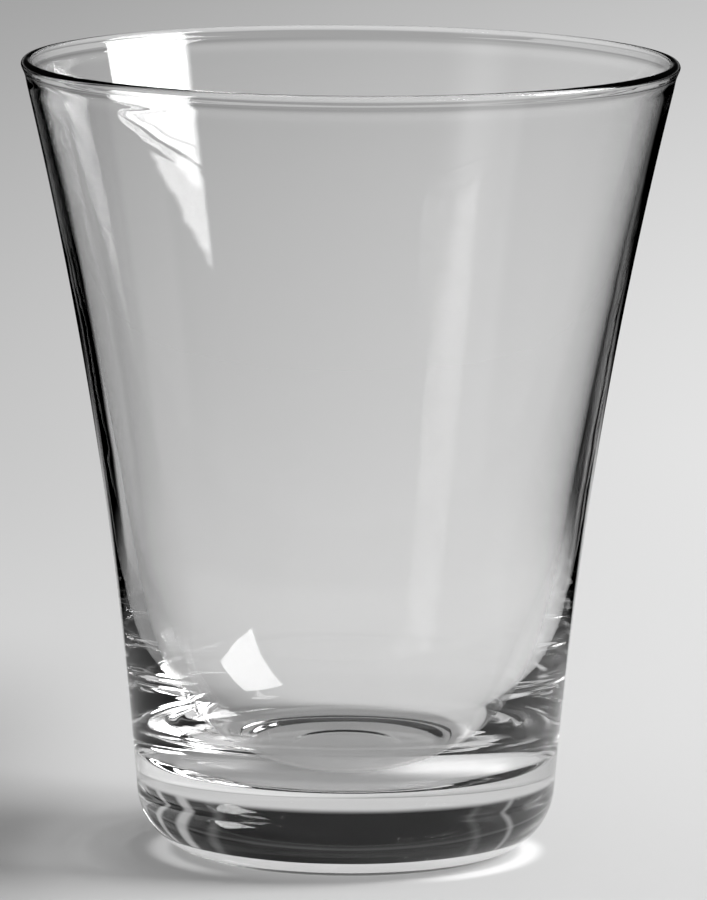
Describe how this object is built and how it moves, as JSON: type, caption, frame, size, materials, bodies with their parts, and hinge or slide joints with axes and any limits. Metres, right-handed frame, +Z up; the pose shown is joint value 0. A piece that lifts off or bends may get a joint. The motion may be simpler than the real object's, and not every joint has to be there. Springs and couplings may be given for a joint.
{
  "type": "double old fashioned glass",
  "caption": "Clear glass tumbler with a flared, gently curved wall, a thick solid base with a rounded heel, and a fine fire-polished lip; holds a drink on the rocks.",
  "frame": {"origin": "centre of the foot, on the surface that the glass stands on", "axes": "+Z up along the axis of the glass; the glass is round, so X and Y are free"},
  "size_m": [0.091, 0.091, 0.111],
  "materials": {
    "clear_glass": "polished clear colourless glass"
  },
  "bodies": {
    "root": {"heavy_base": "clear_glass", "bowl_wall": "clear_glass", "lip_bead": "clear_glass"}
  },
  "joints": []
}
